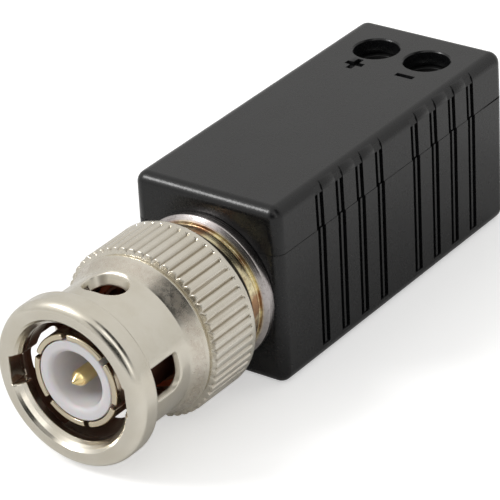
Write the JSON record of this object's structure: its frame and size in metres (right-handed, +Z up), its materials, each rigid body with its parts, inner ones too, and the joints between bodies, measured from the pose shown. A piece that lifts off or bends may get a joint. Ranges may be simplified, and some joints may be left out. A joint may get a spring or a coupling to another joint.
{
  "type": "passive video balun",
  "caption": "Passive video balun: a bayonet video plug with a turning sleeve on a moulded case with a screw terminal for a twisted pair.",
  "frame": {"origin": "on the plug's axis in its mating plane, the front end of the slotted outer contact", "axes": "+Y runs back along the plug's axis into the case, +Z is up from the flat underside to the cover with the screwdriver holes, +X is the minus terminal's side"},
  "size_m": [0.0148, 0.0519, 0.0159],
  "materials": {
    "case_plastic": "satin moulded, faint wear",
    "nickel_plate": "satin nickel plate on brass",
    "gold_plate": "polished gold plate",
    "insulator_white": "smooth white",
    "gasket_silicone": "soft silicone",
    "yellow_passivated": "turned, yellow passivated",
    "spring_steel": "bright",
    "tinned_brass": "tin plate",
    "board_green": "solder mask",
    "ferrite": "sintered",
    "enamelled_copper": "enamelled",
    "chip_body": "ceramic body",
    "solder": "bright",
    "block_plastic": "moulded",
    "screw_steel": "zinc plate"
  },
  "bodies": {
    "case": {"housing_base": "case_plastic", "housing_cover": "case_plastic", "plug_body": "nickel_plate", "outer_contact": "nickel_plate", "insulator": "insulator_white", "centre_pin": "gold_plate", "gasket": "gasket_silicone", "mounting_collar": "yellow_passivated", "ground_lug": "tinned_brass", "lock_nut": "nickel_plate", "wave_spring": "spring_steel", "circuit_board": "board_green", "toroid_core": "ferrite", "toroid_winding": "enamelled_copper", "matching_resistors": "chip_body", "signal_lead": "tinned_brass", "solder_joints": "solder", "terminal_block": "block_plastic", "contact_plus": "tinned_brass", "contact_minus": "tinned_brass"},
    "spring_washer": {"thrust_washer": "spring_steel"},
    "coupling": {"coupling_sleeve": "nickel_plate", "keeper_ring": "spring_steel"},
    "screw_plus": {"clamp_screw_plus": "screw_steel"},
    "cage_plus": {"clamp_cage_plus": "tinned_brass"},
    "screw_minus": {"clamp_screw_minus": "screw_steel"},
    "cage_minus": {"clamp_cage_minus": "tinned_brass"}
  },
  "joints": [
    {"name": "coupling_slide", "type": "slide", "parent": "case", "child": "spring_washer", "axis": [0, -1, 0], "range_m": [0, 0.0008], "stiffness_N_per_m": 3000, "springref_m": -0.0006, "deforming": ["wave_spring"]},
    {"name": "coupling_turn", "type": "hinge", "parent": "spring_washer", "child": "coupling", "pos_m": [0, 0, 0], "axis": [0, -1, 0], "continuous": true},
    {"name": "screw_plus_turn", "type": "hinge", "parent": "case", "child": "screw_plus", "pos_m": [-0.00254, 0.046, 0.005], "axis": [0, 0, -1], "range_deg": [0, 1761]},
    {"name": "cage_plus_rise", "type": "slide", "parent": "case", "child": "cage_plus", "axis": [0, 0, 1], "range_m": [0, 0.0022]},
    {"name": "screw_minus_turn", "type": "hinge", "parent": "case", "child": "screw_minus", "pos_m": [0.00254, 0.046, 0.005], "axis": [0, 0, -1], "range_deg": [0, 1761]},
    {"name": "cage_minus_rise", "type": "slide", "parent": "case", "child": "cage_minus", "axis": [0, 0, 1], "range_m": [0, 0.0022]}
  ],
  "couplings": [
    {"joint": "screw_plus_turn", "follows": "cage_plus_rise", "rad_per_m": 13963},
    {"joint": "screw_minus_turn", "follows": "cage_minus_rise", "rad_per_m": 13963}
  ]
}
